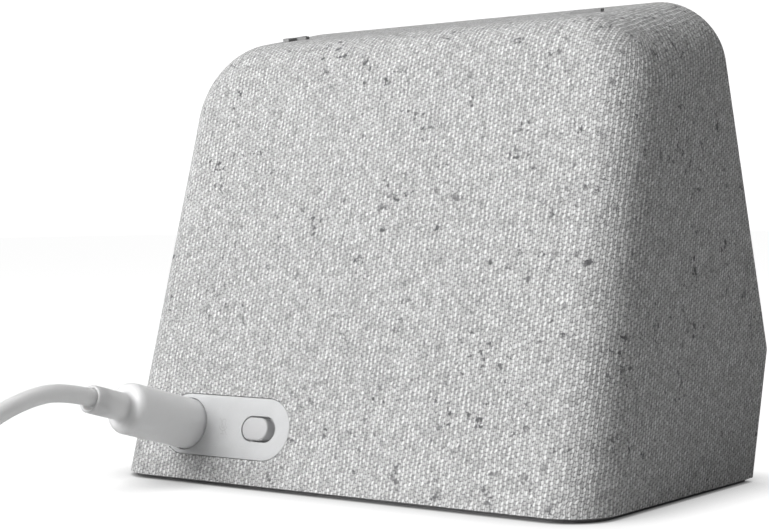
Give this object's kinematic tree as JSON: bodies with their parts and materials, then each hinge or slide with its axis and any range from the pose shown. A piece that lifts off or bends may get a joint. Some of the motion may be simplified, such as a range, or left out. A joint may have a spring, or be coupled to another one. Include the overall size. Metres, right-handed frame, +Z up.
{
  "type": "smart display",
  "caption": "Small wedge-shaped tabletop smart display in light grey knit, with volume keys on top and a mute slider and power lead at the back.",
  "frame": {"origin": "centre of the display's footprint on the surface it stands on, without the lead", "axes": "+X to the right of someone looking at the screen, +Y towards the back, +Z up"},
  "size_m": [0.1427, 0.1903, 0.0931],
  "materials": {
    "knit": "melange knit",
    "shell_plastic": "matt",
    "base_plastic": "matt",
    "foot_rubber": "matt",
    "gold_contact": "plated",
    "circuit_board": "satin",
    "bezel_plastic": "gloss",
    "screen_glass": "polished",
    "screen_panel": "gloss",
    "pressed_steel": "satin",
    "plain_aluminium": "satin",
    "black_plastic": "matt",
    "thermal_rubber": "matt",
    "flex_film": "satin",
    "panel_plastic": "fine matt",
    "plated_metal": "bright",
    "knob_plastic": "matt",
    "key_plastic": "matt",
    "black_rubber": "matt",
    "cone_plastic": "matt",
    "magnet_iron": "plated",
    "copper_film": "satin",
    "screw_steel": "satin",
    "plug_plastic": "smooth",
    "lead_jacket": "smooth",
    "tie_fabric": "woven",
    "adapter_plastic": "smooth"
  },
  "bodies": {
    "display": {"adapter_blades": "plated_metal", "adapter_strain_relief": "lead_jacket", "backlight_tray": "pressed_steel", "base_plate": "base_plastic", "base_screws": "screw_steel", "board_screws": "screw_steel", "chassis_screws": "screw_steel", "contact_board": "circuit_board", "cover_glass": "screen_glass", "display_chassis": "plain_aluminium", "display_flex": "flex_film", "display_panel": "screen_panel", "dock_contacts": "gold_contact", "fabric_cover": "knit", "front_bezel": "bezel_plastic", "heat_spreader": "plain_aluminium", "jack_pin": "plated_metal", "key_board": "circuit_board", "key_cable": "flex_film", "key_screws": "screw_steel", "key_switches": "plated_metal", "lead_coil": "lead_jacket", "lead_tail": "lead_jacket", "lead_tie": "tie_fabric", "light_sensor": "black_plastic", "main_board": "circuit_board", "microphone_boots": "black_rubber", "microphones": "plated_metal", "mute_switch": "black_plastic", "plug_barrel": "plug_plastic", "plug_sleeve": "plated_metal", "plug_strain_relief": "lead_jacket", "port_board": "circuit_board", "port_cable": "flex_film", "port_panel": "panel_plastic", "port_screws": "screw_steel", "power_jack": "black_plastic", "power_lead": "lead_jacket", "processor_shield": "pressed_steel", "rear_housing": "shell_plastic", "rubber_foot": "foot_rubber", "speaker_box": "black_plastic", "speaker_cable": "flex_film", "speaker_cone": "cone_plastic", "speaker_frame": "black_plastic", "speaker_gasket": "black_rubber", "speaker_magnet": "magnet_iron", "speaker_screws": "screw_steel", "speaker_surround": "black_rubber", "thermal_pad": "thermal_rubber", "wall_adapter": "adapter_plastic", "wifi_antenna": "copper_film", "wireless_shield": "pressed_steel"},
    "plus_key": {"plus_button": "key_plastic", "plus_plunger": "black_plastic"},
    "minus_key": {"minus_button": "key_plastic", "minus_plunger": "black_plastic"},
    "mute_knob": {"mute_slider": "knob_plastic", "switch_lever": "black_plastic"}
  },
  "joints": [
    {"name": "plus_press", "type": "slide", "parent": "display", "child": "plus_key", "axis": [0, -0.1837, -0.983], "range_m": [0, 0.0004], "stiffness_N_per_m": 400},
    {"name": "minus_press", "type": "slide", "parent": "display", "child": "minus_key", "axis": [0, -0.1837, -0.983], "range_m": [0, 0.0004], "stiffness_N_per_m": 400},
    {"name": "mute_slide", "type": "slide", "parent": "display", "child": "mute_knob", "axis": [-1, 0, 0], "range_m": [0, 0.0012]}
  ]
}
